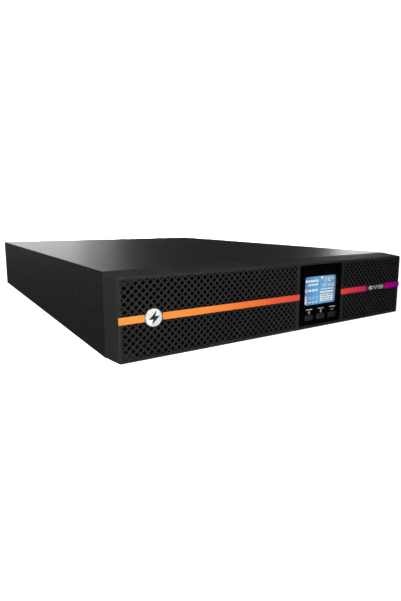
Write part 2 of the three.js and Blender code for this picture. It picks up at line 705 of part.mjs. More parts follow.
// The sleeved lead from the drawer's grommet to the back of the plug.
function batteryLead() {
  const y = PLUG.y[0] - 3 - GAP;
  const points = [
    [SOCKET.x, y - 0.5, SOCKET.z],
    [SOCKET.x, y - 4, SOCKET.z],
    [SOCKET.x - 6, y - 9, SOCKET.z + 1.2],
    [SOCKET.x - 14, y - 9.6, SOCKET.z + 2.6],
    [GROMMET.x + 4, y - 6, GROMMET.z - 0.4],
    [GROMMET.x, y + 1, GROMMET.z],
    [GROMMET.x, FRAME_Y - 3, GROMMET.z],
    [GROMMET.x, FRAME_Y + 2, GROMMET.z],
  ];
  const path = new THREE.CatmullRomCurve3(points.map((p) => new THREE.Vector3(...p)));
  const section = new THREE.Shape().absarc(0, 0, 3.5, 0, Math.PI * 2);
  return solid(
    new THREE.ExtrudeGeometry(section, { steps: 28, curveSegments: 5, extrudePath: path }),
  );
}

// ---- The whole object ----

const chassis = group([
  part("base_tray", baseTray(), "coat"),
  part("top_cover", topCover(), "coat"),
  part("front_frame", frontFrame(), "coat"),
  part("rear_panel", rearPanel(), "coat"),
  part("bay_divider", bayDivider(), "zinc"),
  part("battery_socket", batterySocket(), "plug"),
  ...[-1, 1].flatMap((side) =>
    SCREW_YS.map((y, k) => {
      const name = `side_screw_${side < 0 ? "left" : "right"}_${k + 1}`;
      return part(name, sideScrew(side), "black", [0, y, SCREW_Z]);
    }),
  ),
]);

const electronics = group([
  part("main_board", mainBoard(), "board"),
  part("heatsink_inverter", heatsink(), "aluminium", [60, -20, 0]),
  part("heatsink_charger", heatsink(), "aluminium", [110, -20, 0]),
  part("power_choke", powerChoke(), "ferrite", [176, -60, 0]),
  part("bulk_capacitor_1", capacitor(), "sleeve", [176, 20, 0]),
  part("bulk_capacitor_2", capacitor(), "sleeve", [176, 56, 0]),
]);

const onPanel = ({ x, z }) => [x, REAR_Y, z];
const rear = group([
  part("outlet_bank_1", outletBank(), "black", [BANK.xs[0], REAR_Y, BANK.z]),
  part("outlet_bank_2", outletBank(), "black", [BANK.xs[1], REAR_Y, BANK.z]),
  part("high_current_outlet", bigOutlet(), "black", onPanel(BIG_OUTLET)),
  part("power_inlet", powerInlet(), "black", onPanel(INLET)),
  part("input_breaker", inputBreaker(), "black", onPanel(BREAKER)),
  part("breaker_button", breakerButton(), "white", onPanel(BREAKER)),
  part("usb_port", usbPort(), "zinc", onPanel(USB)),
  part("serial_port", serialPort(), "zinc", onPanel(SERIAL)),
  part("network_jacks", networkJacks(), "black", onPanel(JACKS)),
  part("shutdown_terminal", shutdownTerminal(), "green", onPanel(SHUTDOWN)),
  part("slot_cover", slotCover(), "coat", onPanel(SLOT)),
  part("slot_screw_1", thumbscrew(), "zinc", [SLOT.x - SLOT.screw, REAR_Y, SLOT.z]),
  part("slot_screw_2", thumbscrew(), "zinc", [SLOT.x + SLOT.screw, REAR_Y, SLOT.z]),
  part("ground_stud", groundStud(), "brass", onPanel(STUD)),
]);

const fans = group(
  FAN.xs.map((x, k) => {
    const middle = REAR_Y - SHEET - GAP - FAN.depth / 2;
    return group(
      [
        part(`fan_${k + 1}_housing`, fanHousing(), "black"),
        part(`fan_${k + 1}_rotor`, fanRotor(), "black"),
        part(`fan_${k + 1}_guard`, fanGuard(), "zinc", [0, REAR_Y - middle, 0]),
      ],
      [x, middle, FAN.z],
    );
  }),
);

const bezel = group([
  part("front_bezel", frontBezel(), "abs"),
  ...Object.entries(STRIPES).map(([name, { x, material }]) => part(name, stripe(x), material)),
  part("nameplate", stripe(NAMEPLATE_X), "black"),
  part("badge", badge(), "white", [BADGE.x, FACE_Y, BADGE.z]),
]);

const display = group(
  [
    part("display_carrier", displayCarrier(), "abs"),
    part("display_housing", displayHousing(), "gloss"),
    part("display_window", displayWindow(), "gloss"),
    part("lcd_panel", lcdPanel(), "screen"),
    ...["button_power", "button_select", "button_enter"].map((name, k) =>
      part(name, key(), "key", [KEY.xs[k], 0, KEY.z]),
    ),
  ],
  [DISPLAY.x, FACE_Y, DISPLAY.z],
);

// Three rows of two batteries, terminals towards the drawer's middle.
function batteries() {
  const made = [];
  for (let row = 0; row < 3; row++) {
    const y = FRAME_Y + 3 + row * CELL.pitch;
    const z = TRAY_Z + SHEET + GAP;
    const left = part(`battery_${row * 2 + 1}`, battery(), "cell", [TRAY_X[0] + 2, y, z]);
    const right = part(`battery_${row * 2 + 2}`, battery(), "cell");
    right.rotation.y = Math.PI; // upside down, so that its terminals pass below the left one's
    right.position.set(TRAY_X[1] - 2, y, z + CELL.thick);
    made.push(left, right);
  }
  return made;
}

const drawer = group([
  part("battery_tray", batteryTray(), "coat"),
  ...batteries(),
  part("tray_handle", trayHandle(), "zinc", [HANDLE.x, HANDLE.y, HANDLE.z]),
  part("battery_plug", batteryPlug(), "plug"),
  part("battery_lead", batteryLead(), "sleeve"),
]);

export default group([chassis, electronics, rear, fans, bezel, display, drawer]);
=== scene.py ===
"""A two-unit rack or tower uninterruptible power supply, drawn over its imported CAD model.

Sizes in the shape functions are millimetres. A piece is built about its own datum, and
placed in metres.
"""

import math

import bmesh
import bpy
from mathutils import Matrix, Vector
from mathutils.geometry import delaunay_2d_cdt


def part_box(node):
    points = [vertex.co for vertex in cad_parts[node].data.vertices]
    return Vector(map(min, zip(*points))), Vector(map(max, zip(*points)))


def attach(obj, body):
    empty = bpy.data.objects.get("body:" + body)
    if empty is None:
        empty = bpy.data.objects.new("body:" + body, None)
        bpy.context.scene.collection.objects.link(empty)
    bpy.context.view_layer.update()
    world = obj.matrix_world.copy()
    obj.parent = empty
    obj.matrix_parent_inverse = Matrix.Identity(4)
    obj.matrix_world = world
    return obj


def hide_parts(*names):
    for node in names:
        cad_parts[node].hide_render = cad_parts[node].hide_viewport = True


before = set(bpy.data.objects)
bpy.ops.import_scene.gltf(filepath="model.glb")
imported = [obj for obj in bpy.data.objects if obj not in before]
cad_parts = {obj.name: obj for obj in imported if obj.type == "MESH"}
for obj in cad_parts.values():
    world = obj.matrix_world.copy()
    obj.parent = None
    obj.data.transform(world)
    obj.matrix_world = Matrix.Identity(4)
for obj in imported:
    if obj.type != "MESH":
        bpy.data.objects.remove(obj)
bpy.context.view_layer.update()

MM = 0.001
FACE_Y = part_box("front_bezel")[0].y  # the bezel's front face
JOINT_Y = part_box("top_cover")[0].y  # where the bezel meets the chassis
REAR_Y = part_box("rear_panel")[1].y  # the rear panel's outer face
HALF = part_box("top_cover")[1].x / MM
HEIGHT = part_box("top_cover")[1].z / MM
BEZEL_DEPTH = (JOINT_Y - FACE_Y) / MM


def middle(node):
    """The middle of a CAD node in X and Z, moved to the bezel's front face."""
    low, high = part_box(node)
    return Vector(((low.x + high.x) / 2, FACE_Y, (low.z + high.z) / 2))


# ---- Materials ----


def shader_of(material):
    return material.node_tree.nodes["Principled BSDF"]


def new_material(name, color, roughness, **inputs):
    """A Principled material. Further inputs are named as their sockets, with _ for each space."""
    material = bpy.data.materials.new(name)
    material.use_nodes = True
    shader = shader_of(material)
    shader.inputs["Base Color"].default_value = (*color, 1)
    shader.inputs["Roughness"].default_value = roughness
    for socket, value in inputs.items():
        shader.inputs[socket.replace("_", " ")].default_value = value
    return material


def object_noise(tree, scale, detail=4.0, stretch=(1, 1, 1)):
    """Noise in the object's own coordinates. Its Fac output is the last node's first output."""
    nodes, links = tree.nodes, tree.links
    coordinates = nodes.new("ShaderNodeTexCoord")
    mapping = nodes.new("ShaderNodeMapping")
    mapping.inputs["Scale"].default_value = stretch
    noise = nodes.new("ShaderNodeTexNoise")
    noise.inputs["Scale"].default_value = scale
    noise.inputs["Detail"].default_value = detail
    links.new(coordinates.outputs["Object"], mapping.inputs["Vector"])
    links.new(mapping.outputs["Vector"], noise.inputs["Vector"])
    return noise


def add_grain(material, size, depth, stretch=(1, 1, 1)):
    """A fine bump. Size is the grain's size and depth its height, both in millimetres."""
    tree = material.node_tree
    noise = object_noise(tree, 1 / (size * MM), 3.0, stretch)
    bump = tree.nodes.new("ShaderNodeBump")
    bump.inputs["Strength"].default_value = 1.0
    bump.inputs["Distance"].default_value = depth * MM
    tree.links.new(noise.outputs[0], bump.inputs["Height"])
    tree.links.new(bump.outputs["Normal"], shader_of(material).inputs["Normal"])
    return material


def add_wear(material, size, low, high, stretch=(1, 1, 1)):
    """Roughness that wanders between low and high over patches of a size in millimetres."""
    tree = material.node_tree
    noise = object_noise(tree, 1 / (size * MM), 5.0, stretch)
    spread = tree.nodes.new("ShaderNodeMapRange")
    spread.inputs["From Min"].default_value = 0.3
    spread.inputs["From Max"].default_value = 0.7
    spread.inputs["To Min"].default_value = low
    spread.inputs["To Max"].default_value = high
    tree.links.new(noise.outputs[0], spread.inputs["Value"])
    tree.links.new(spread.outputs["Result"], shader_of(material).inputs["Roughness"])
    return material


def add_mottle(material, color, size):
    """The base colour drifts towards a second colour over patches of a size in millimetres."""
    tree = material.node_tree
    shader = shader_of(material)
    noise = object_noise(tree, 1 / (size * MM))
    mix = tree.nodes.new("ShaderNodeMix")
    mix.data_type = "RGBA"
    mix.inputs[6].default_value = shader.inputs["Base Color"].default_value
    mix.inputs[7].default_value = (*color, 1)
    tree.links.new(noise.outputs[0], mix.inputs[0])
    tree.links.new(mix.outputs[2], shader.inputs["Base Color"])
    return material


def powder_coat(name, color, roughness):
    """Black powder coat: a fine orange peel over steel."""
    made = new_material(name, color, roughness, Specular_IOR_Level=0.5)
    add_mottle(made, tuple(1.35 * c for c in color), 1.6)
    add_wear(made, 9, roughness - 0.02, roughness + 0.02)
    return add_grain(made, 0.7, 0.004)


def moulded(name, color, roughness, grain_depth=0.02, specular=0.4):
    """Moulded plastic with a spark-eroded texture."""
    made = new_material(name, color, roughness, Specular_IOR_Level=specular)
    add_mottle(made, tuple(1.25 * c for c in color), 2.5)
    add_wear(made, 12, roughness - 0.06, roughness + 0.06)
    return add_grain(made, 0.45, grain_depth)


def polished(name, color, roughness=0.08, specular=0.5):
    """Gloss plastic: faint handling haze and almost no texture."""
    made = new_material(name, color, roughness, Specular_IOR_Level=specular)
    add_mottle(made, tuple(1.2 * c + 0.0005 for c in color), 15)
    add_wear(made, 25, roughness, roughness + 0.08)
    return add_grain(made, 6, 0.004)


def plated(name, color, roughness):
    """Plated or bare metal with fine drawn lines along Y."""
    made = new_material(name, color, roughness, Metallic=1.0)
    add_mottle(made, tuple(0.8 * c for c in color), 8)
    add_wear(made, 5, roughness - 0.08, roughness + 0.1, (1, 0.15, 1))
    return add_grain(made, 0.5, 0.006, (1, 0.1, 1))


def circuit_board():
    """Green solder mask with paler runs of track along Y."""
    made = new_material("green_board", (0.01, 0.09, 0.035), 0.35, Specular_IOR_Level=0.5)
    tree = made.node_tree
    coordinates = tree.nodes.new("ShaderNodeTexCoord")
    wave = tree.nodes.new("ShaderNodeTexWave")
    wave.inputs["Scale"].default_value = 90
    wave.inputs["Distortion"].default_value = 2.5
    ramp = tree.nodes.new("ShaderNodeValToRGB")
    ramp.color_ramp.elements[0].color = (0.008, 0.07, 0.028, 1)
    ramp.color_ramp.elements[1].color = (0.02, 0.16, 0.06, 1)
    tree.links.new(coordinates.outputs["Object"], wave.inputs["Vector"])
    tree.links.new(wave.outputs["Color"], ramp.inputs["Fac"])
    tree.links.new(ramp.outputs["Color"], shader_of(made).inputs["Base Color"])
    return add_grain(made, 0.8, 0.02)


STRIPE_PAINTED_GLOW = 0.085  # painted light: the stripe glows a little, though it is no lamp, to keep its colours clear in the shade
SCREEN_GLOW = 0.76
# The stripe's colours, from place to place along X in millimetres.
STRIPE_COLORS = [
    (-216, (0.95, 0.35, 0.062)),
    (-120, (0.95, 0.27, 0.05)),
    (-75, (0.95, 0.21, 0.037)),
    (-20, (0.95, 0.12, 0.05)),
    (12, (0.91, 0.088, 0.08)),
    (92, (1.0, 0.07, 0.065)),
    (140, (0.87, 0.034, 0.13)),
    (183, (0.71, 0.0, 0.26)),
    (217, (0.43, 0.0, 0.6)),
]


def stripe_material():
    """Painted plastic whose colour runs from orange to purple along X. Its faint glow is painted
    light.
    """
    made = new_material("stripe_gradient_painted_glow", (1, 0.3, 0.05), 0.5, Specular_IOR_Level=0.15)
    tree = made.node_tree
    coordinates = tree.nodes.new("ShaderNodeTexCoord")
    parts = tree.nodes.new("ShaderNodeSeparateXYZ")
    spread = tree.nodes.new("ShaderNodeMapRange")
    ramp = tree.nodes.new("ShaderNodeValToRGB")
    start, end = STRIPE_COLORS[0][0], STRIPE_COLORS[-1][0]
    spread.inputs["From Min"].default_value = start * MM
    spread.inputs["From Max"].default_value = end * MM
    stops = ramp.color_ramp.elements
    while len(stops) < len(STRIPE_COLORS):
        stops.new(0.5)
    for stop, (x, color) in zip(stops, STRIPE_COLORS):
        stop.position = (x - start) / (end - start)
        stop.color = (*color, 1)
    tree.links.new(coordinates.outputs["Object"], parts.inputs["Vector"])
    tree.links.new(parts.outputs["X"], spread.inputs["Value"])
    tree.links.new(spread.outputs["Result"], ramp.inputs["Fac"])
    tree.links.new(ramp.outputs["Color"], shader_of(made).inputs["Base Color"])
    # painted light: a faint glow in the stripe's own colours
    shader_of(made).inputs["Emission Strength"].default_value = STRIPE_PAINTED_GLOW
    tree.links.new(ramp.outputs["Color"], shader_of(made).inputs["Emission Color"])
    return add_grain(made, 0.5, 0.004)


def lit_screen():
    """A backlit liquid-crystal screen: blue, and brightest a little left of its middle."""
    made = new_material("lit_screen", (0.01, 0.02, 0.04), 0.45)
    tree = made.node_tree
    coordinates = tree.nodes.new("ShaderNodeTexCoord")
    parts = tree.nodes.new("ShaderNodeSeparateXYZ")
    spread = tree.nodes.new("ShaderNodeMapRange")
    ramp = tree.nodes.new("ShaderNodeValToRGB")
    low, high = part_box("lcd_panel")
    spread.inputs["From Min"].default_value = low.x
    spread.inputs["From Max"].default_value = high.x
    ramp.color_ramp.elements[0].color = (0.025, 0.13, 0.42, 1)
    ramp.color_ramp.elements[1].color = (0.05, 0.17, 0.44, 1)
    ramp.color_ramp.elements.new(0.42).color = (0.025, 0.42, 0.8, 1)
    tree.links.new(coordinates.outputs["Object"], parts.inputs["Vector"])
    tree.links.new(parts.outputs["X"], spread.inputs["Value"])
    tree.links.new(spread.outputs["Result"], ramp.inputs["Fac"])
    tree.links.new(ramp.outputs["Color"], shader_of(made).inputs["Emission Color"])
    shader_of(made).inputs["Emission Strength"].default_value = SCREEN_GLOW
    return add_grain(made, 0.6, 0.004)


def glowing(name, color, strength):
    """Segments of the screen, which glow in one colour."""
    made = new_material(name, (0.02, 0.02, 0.02), 0.5, Emission_Strength=strength)
    shader_of(made).inputs["Emission Color"].default_value = (*color, 1)
    return add_grain(made, 0.5, 0.003)


COAT = powder_coat("black_powder_coat", (0.011, 0.011, 0.0115), 0.45)
INNER_COAT = powder_coat("inner_powder_coat", (0.008, 0.008, 0.008), 0.55)
BEZEL = moulded("bezel_plastic", (0.026, 0.026, 0.0265), 0.66, 0.008, 0.07)
# a dust filter, and painted shade: near black, for the shade behind the mesh's holes
SHADE_FOAM = moulded("filter_foam_painted_shade", (0.0015, 0.0015, 0.0015), 0.95, 0.2, 0.0)
GLOSS = polished("gloss_black", (0.0012, 0.0012, 0.0014), 0.08, 0.25)
KEY = moulded("key_rubber", (0.019, 0.019, 0.02), 0.6)
STRIPE = stripe_material()
WHITE = polished("white_plastic", (0.82, 0.82, 0.82), 0.3)
GREY = moulded("grey_plastic", (0.2, 0.2, 0.195), 0.45)
INK = polished("black_ink", (0.012, 0.012, 0.014), 0.35)
PRINT = moulded("white_print", (0.8, 0.8, 0.8), 0.5, 0.002)
ZINC = plated("zinc_plate", (0.6, 0.61, 0.62), 0.3)
ALUMINIUM = plated("aluminium", (0.68, 0.69, 0.7), 0.35)
BRASS = plated("brass", (0.72, 0.5, 0.17), 0.3)
BLACK = moulded("black_plastic", (0.024, 0.024, 0.024), 0.42)
# painted shade: darker than the bezel, for the shade in the blind pockets at the mesh's corners
SHADED_LATCH = moulded("latch_plastic_painted_shade", (0.009, 0.009, 0.009), 0.5, 0.02, 0.12)
SLEEVE = moulded("cable_sleeve", (0.02, 0.02, 0.024), 0.5)
CASE = moulded("battery_case", (0.06, 0.063, 0.07), 0.5)
RED = moulded("red_plastic", (0.32, 0.015, 0.015), 0.45)
GREEN = moulded("green_plastic", (0.02, 0.17, 0.05), 0.45)
FERRITE = powder_coat("lacquered_core", (0.03, 0.033, 0.038), 0.5)
BOARD = circuit_board()
SCREEN = lit_screen()
LIT = glowing("lit_segment", (0.7, 0.78, 0.82), 0.95)
DIM = glowing("dim_segment", (0.03, 0.13, 0.36), 0.6)
CLEAR = new_material("clear_plastic", (1, 1, 1), 0.02, IOR=1.49, Transmission_Weight=1.0)
add_grain(CLEAR, 8, 0.002)


# ---- Shapes ----


def circle(radius, steps=24, at=(0, 0)):
    turns = [2 * math.pi * k / steps for k in range(steps)]
    return [(at[0] + radius * math.cos(a), at[1] + radius * math.sin(a)) for a in turns]


def rectangle(x0, x1, z0, z1):
    return [(x0, z0), (x1, z0), (x1, z1), (x0, z1)]


def rounded(x0, x1, z0, z1, radius, steps=5):
    """A rectangle in X and Z with round corners, anticlockwise as seen from the front."""
    points = []
    corners = [(x1, z0, -90), (x1, z1, 0), (x0, z1, 90), (x0, z0, 180)]
    for x, z, start in corners:
        cx = x - math.copysign(radius, x - (x0 + x1) / 2)
        cz = z - math.copysign(radius, z - (z0 + z1) / 2)
        for k in range(steps + 1):
            a = math.radians(start + 90 * k / steps)
            points.append((cx + radius * math.cos(a), cz + radius * math.sin(a)))
    return points


def ring_of(bm, outline, y):
    return [bm.verts.new((x, y, z)) for x, z in outline]


def bridge(bm, loops):
    """Quads between each loop of vertices and the next."""
    for near, far in zip(loops, loops[1:]):
        for k in range(len(near)):
            n = (k + 1) % len(near)
            bm.faces.new((near[k], near[n], far[n], far[k]))


def add_prism(bm, outline, y0, y1):
    """An outline in X and Z, as a closed solid between two places in Y."""
    front, back = ring_of(bm, outline, y0), ring_of(bm, outline, y1)
    bridge(bm, [front, back])
    bm.faces.new(front)
    bm.faces.new(list(reversed(back)))


def add_bar(bm, start, end, width, y0, y1):
    """A straight stroke between two points in X and Z."""
    along = Vector(end) - Vector(start)
    across = Vector((-along.y, along.x)).normalized() * width / 2
    a, b = Vector(start), Vector(end)
    add_prism(bm, [a - across, b - across, b + across, a + across], y0, y1)


def add_lathe(bm, profile, at=(0, 0, 0), steps=48):
    """A closed profile of (radius, y) points turned about Y. A radius of 0 closes an end."""
    loops = []
    for radius, y in profile:
        points = circle(radius, steps, (at[0], at[2])) if radius else [(at[0], at[2])]
        loops.append(ring_of(bm, points, at[1] + y))
    for near, far in zip(loops, loops[1:] + loops[:1]):
        if len(near) == len(far) == 1:
            continue
        inner, outer = len(near), len(far)
        for k in range(steps):
            n = (k + 1) % steps
            corners = [near[k % inner], near[n % inner], far[n % outer], far[k % outer]]
            bm.faces.new(list(dict.fromkeys(corners)))


def add_ring_wire(bm, radius, wire, y):
    """A round wire bent into a ring about Y."""
    section = [(radius + r, y + d) for r, d in circle(wire, 10)]
    add_lathe(bm, section, steps=64)


def add_rod(bm, start, end, radius, sides=16):
    """A straight round rod between two points, its ends a little rounded."""
    a, b = Vector(start), Vector(end)
    axis = (b - a).normalized()
    turn = axis.to_track_quat("Z", "Y").to_matrix()
    loops = []
    end_length = axis * radius * 0.4
    for place, share in ((a, 0.6), (a + end_length, 1), (b - end_length, 1), (b, 0.6)):
        outline = circle(radius * share, sides)
        loops.append([bm.verts.new(place + turn @ Vector((x, y, 0))) for x, y in outline])
    bridge(bm, loops)
    bm.faces.new(list(reversed(loops[0])))
    bm.faces.new(loops[-1])


def add_plate(bm, outline, holes, y0, y1, chamfer=0.0, narrow=None):
    """A plate with holes. With a chamfer, narrow holds each hole's outline behind the chamfer."""
    back_loops = [outline] + (narrow or holes)
    front = fill_flat(bm, [outline] + holes, y0)
    back = fill_flat(bm, back_loops, y1)
    bridge(bm, [front[0], back[0]])
    for k in range(1, len(front)):
        if narrow:
            step = ring_of(bm, back_loops[k], y0 + chamfer)
            bridge(bm, [front[k], step, back[k]])
        else:
            bridge(bm, [front[k], back[k]])


FILL_INSIDE = 1  # the triangulation keeps only what lies inside the border
FILL_CLOSE = 1e-5


def fill_flat(bm, loops, y):
    """Triangles that fill the first loop except for the others. Returns each loop's vertices."""
    points = [Vector(point) for loop in loops for point in loop]
    numbers = iter(range(len(points)))
    rows = [[next(numbers) for _ in loop] for loop in loops]
    border = list(zip(rows[0], rows[0][1:] + rows[0][:1]))
    flat, _, faces, vertex_sources, _, hole_sources = delaunay_2d_cdt(
        points, border, rows[1:], FILL_INSIDE, FILL_CLOSE, True
    )
    made = [bm.verts.new((p.x, y, p.y)) for p in flat]
    place_of = {source: vertex for vertex, found in zip(made, vertex_sources) for source in found}
    for face, in_hole in zip(faces, hole_sources):
        if not in_hole:
            bm.faces.new([made[k] for k in face])
    return [[place_of[number] for number in row] for row in rows]


CLOSE = 0.001  # points nearer than this are one point


def clip(outline, x0, x1, z0, z1):
    """The part of a convex outline that lies inside a rectangle."""
    for axis, limit, sign in ((0, x0, 1), (0, x1, -1), (1, z0, 1), (1, z1, -1)):
        kept = []
        for a, b in zip(outline, outline[1:] + outline[:1]):
            da, db = sign * (a[axis] - limit), sign * (b[axis] - limit)
            if da > -CLOSE:
                kept.append(a)
            if min(da, db) < -CLOSE and max(da, db) > CLOSE:
                t = da / (da - db)
                kept.append((a[0] + t * (b[0] - a[0]), a[1] + t * (b[1] - a[1])))
        outline = kept
    return outline


def area_of(outline):
    pairs = zip(outline, outline[1:] + outline[:1])
    return abs(sum(a[0] * b[1] - b[0] * a[1] for a, b in pairs)) / 2


# ---- Pieces ----


def make_piece(name, bm, body, material, at=(0, 0, 0), replaces=(), smooth=True):
    """A mesh in millimetres becomes a piece at a place in metres, and rides on a CAD body."""
    bmesh.ops.recalc_face_normals(bm, faces=bm.faces)
    bmesh.ops.transform(bm, matrix=Matrix.Scale(MM, 4), verts=bm.verts)
    mesh = bpy.data.meshes.new(name)
    bm.to_mesh(mesh)
    bm.free()
    mesh.materials.append(material)
    for face in mesh.polygons:
        face.use_smooth = smooth
    piece = bpy.data.objects.new(name, mesh)
    bpy.context.scene.collection.objects.link(piece)
    piece.location = at
    if smooth:
        mesh.set_sharp_from_angle(angle=SHARP_ANGLE)
    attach(piece, body)
    if replaces:
        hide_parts(*replaces)
    return piece


SHARP_ANGLE = math.radians(35)  # shading breaks at edges sharper than this
BEVEL_ANGLE = math.radians(40)  # edges sharper than this are rounded


def soften(piece, width):
    """Rounds the sharp edges by a width in millimetres."""
    bevel = piece.modifiers.new("rounded_edges", "BEVEL")
    bevel.width = width * MM
    bevel.segments = 2
    bevel.limit_method = "ANGLE"
    bevel.angle_limit = BEVEL_ANGLE
    weighted = piece.modifiers.new("flat_faces", "WEIGHTED_NORMAL")
    weighted.keep_sharp = True


def dress(node, material, edge):
    """Gives a CAD node its material and rounds its edges by a width in millimetres."""
    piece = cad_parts[node]
    piece.data.materials.clear()
    piece.data.materials.append(material)
    for face in piece.data.polygons:
        face.use_smooth = True
    weld = piece.modifiers.new("joined_corners", "WELD")
    weld.merge_threshold = 0.005 * MM
    flatten = piece.modifiers.new("whole_faces", "DECIMATE")
    flatten.decimate_type = "DISSOLVE"
    flatten.angle_limit = math.radians(0.5)
    soften(piece, edge)


# ---- The bezel ----

FACE_IN = 3.0  # how far each side of the bezel leans in from the chassis to the front face
FACE_LOW = 1.0  # the front face's lower and upper edge
FACE_HIGH = HEIGHT - 3.0
LEAN_POWER = 1.25  # above 1, the sides and the bottom curve in towards the face
EDGE_ROUND = 1.6
BORDER = 2.7  # the plain border around the mesh
FIELD_BACK = 0.5  # the mesh lies this far behind the border
PLATE_BACK = 1.05  # the back of the plate that has the mesh
PITCH = 7.7  # of the diamond holes, in X and in Z
HOLE = 2.95  # from a hole's middle to its corner
HOLE_CHAMFER = 0.15
SMALLEST_HOLE = 3  # cut diamonds with less area than this are left out
STRIPE_Z = middle("stripe_middle").z / MM
BAND = 3.6  # half the height of the plain band that the stripe lies on
DISPLAY = middle("display_housing") / MM
OPENING = 37.2  # half the width of the opening for the display
OPENING_TOP = 1.2  # the opening is this much higher above the display
RIB = 4.6
FINGER_TOP = 82.2
BADGE = middle("badge") / MM
BADGE_SEAT = 9.2  # the inner radius of the ring around the badge
SPIGOT_HOLE = 3.6
LATCH_INNER = HALF - 25.5  # the latch blocks lie behind the mesh's corners
LATCH_OUTER = HALF - 5.0
LATCH_LOW = 12.5
LATCH_HIGH = 73.0
TONGUE_ZS = (12.0, 74.0)  # the tongues that click into the front frame
TONGUE_FRONT = 20.0


def bezel_loop(inset, depth, radius):
    """The bezel's outline at a depth behind its face, moved in by inset."""
    slope = 1 - depth / BEZEL_DEPTH
    lean = slope ** LEAN_POWER
    half = HALF - FACE_IN * lean - inset
    low = FACE_LOW * lean + inset
    high = HEIGHT - (HEIGHT - FACE_HIGH) * slope - inset
    return rounded(-half, half, low, high, radius)


def add_bezel_rim(bm):
    """The tapered wall and its round front edge, as one closed ring of loops."""
    back = BEZEL_DEPTH - 0.3
    # Each place in the wall's section is (inset, depth, corner radius): the outside from the back
    # to the front, the round edge, the border's inner edge, and the inside at the back.
    section = [(0.0, depth, 2.0) for depth in (back, 24, 19, 14, 10, 7, 4.5, EDGE_ROUND + 0.6)]
    steps = 5
    for k in range(steps + 1):
        a = math.radians(90 * k / steps)
        inset, depth = EDGE_ROUND * (1 - math.cos(a)), EDGE_ROUND * (1 - math.sin(a))
        section.append((inset, depth, EDGE_ROUND * math.cos(a) + 0.5))
    section += [(BORDER - 0.15, 0.0, 0.5), (BORDER, 0.15, 0.5), (BORDER, PLATE_BACK, 0.5)]
    section += [(2.4, back, 0.5)]
    loops = [
        ring_of(bm, bezel_loop(inset, depth, radius), depth) for inset, depth, radius in section
    ]
    bridge(bm, loops + loops[:1])


def mesh_fields():
    """The four rectangles that hold the diamond mesh: (x0, x1, z0, z1)."""
    side = HALF - FACE_IN - BORDER - 0.6
    low, high = FACE_LOW + BORDER + 0.3, FACE_HIGH - BORDER - 0.3
    columns = [(-side, DISPLAY.x - OPENING - RIB), (DISPLAY.x + OPENING + RIB, side)]
    rows = [(low, STRIPE_Z - BAND), (STRIPE_Z + BAND, high)]
    return [(*column, *row) for column in columns for row in rows]


def diamond_holes():
    """Each whole or cut diamond of the mesh, clear of the badge's seat."""
    holes = []
    half_pitch = PITCH / 2
    start_x = -(HALF - FACE_IN - BORDER)
    start_z = STRIPE_Z - 11 * half_pitch
    for x0, x1, z0, z1 in mesh_fields():
        for column in range(int(2 * HALF / half_pitch)):
            for row in range(int(HEIGHT / half_pitch) + 1):
                x = start_x + column * half_pitch
                z = start_z + row * half_pitch
                near_badge = math.hypot(x - BADGE.x, z - BADGE.z) < BADGE_SEAT
                if (column + row) % 2 or near_badge:
                    continue
                corners = [(x, z - HOLE), (x + HOLE, z), (x, z + HOLE), (x - HOLE, z)]
                outline = clip(corners, x0, x1, z0, z1)
                if len(outline) > 2 and area_of(outline) > SMALLEST_HOLE:
                    holes.append(outline)
    return holes


def shrunk(outline):
    """A diamond's outline, drawn towards its middle by the chamfer's width."""
    cx = sum(x for x, _ in outline) / len(outline)
    cz = sum(z for _, z in outline) / len(outline)
    share = 1 - HOLE_CHAMFER / (HOLE * math.sqrt(0.5))
    return [(cx + share * (x - cx), cz + share * (z - cz)) for x, z in outline]


def add_bezel_face(bm):
    """The face: diamond mesh, plain band, badge seat and display opening."""
    overlap = 0.4  # with the border
    half = HALF - FACE_IN - BORDER + overlap
    outline = rectangle(-half, half, FACE_LOW + BORDER - overlap, FACE_HIGH - BORDER + overlap)
    x0, x1 = DISPLAY.x - OPENING, DISPLAY.x + OPENING
    plain = [
        rectangle(x0, x1, DISPLAY.z - OPENING, DISPLAY.z + OPENING + OPENING_TOP),
        circle(SPIGOT_HOLE, 24, (BADGE.x, BADGE.z)),
    ]
    diamonds = diamond_holes()
    narrow = plain + [shrunk(hole) for hole in diamonds]
    add_plate(bm, outline, plain + diamonds, FIELD_BACK, PLATE_BACK, HOLE_CHAMFER, narrow)


def add_bezel_ribs(bm):
    """The two upright ribs beside the display, and the finger recess's back and roof above it."""
    for side in (-1, 1):
        inner = DISPLAY.x + side * (OPENING + 0.05)
        outer = DISPLAY.x + side * (OPENING + RIB)
        x0, x1 = sorted((inner, outer))
        add_prism(bm, rectangle(x0, x1, FACE_LOW + 2, FACE_HIGH - 2), 0.05, PLATE_BACK)
    top = DISPLAY.z + OPENING
    x0, x1 = DISPLAY.x - OPENING - 3, DISPLAY.x + OPENING + 3
    add_prism(bm, rectangle(x0, x1, top + 0.5, FACE_HIGH - 1), 5, 7)
    add_prism(bm, rectangle(x0, x1, FINGER_TOP, FACE_HIGH - 0.8), 0.6, 6)


def make_latches():
    """The blocks behind the mesh's corners and the tongues that click into the front frame. Their
    colour, darker than the bezel's, is painted shade in the blind pockets.
    """
    bm = bmesh.new()
    at = (0, FACE_Y, 0)
    floor, ceiling = FACE_LOW + BORDER, FACE_HIGH - BORDER
    for side in (-1, 1):
        x0, x1 = sorted((side * LATCH_INNER, side * LATCH_OUTER))
        tongue = side * (HALF - 3)
        for low, high in ((floor, LATCH_LOW), (LATCH_HIGH, ceiling)):
            add_prism(bm, rectangle(x0, x1, low, high), PLATE_BACK + 0.9, 9)
        for z in TONGUE_ZS:
            outline = rectangle(tongue - 1.1, tongue + 1.1, z - 4, z + 4)
            add_prism(bm, outline, TONGUE_FRONT, BEZEL_DEPTH + 8)
    make_piece("bezel_latches", bm, "bezel", SHADED_LATCH, at, smooth=False)


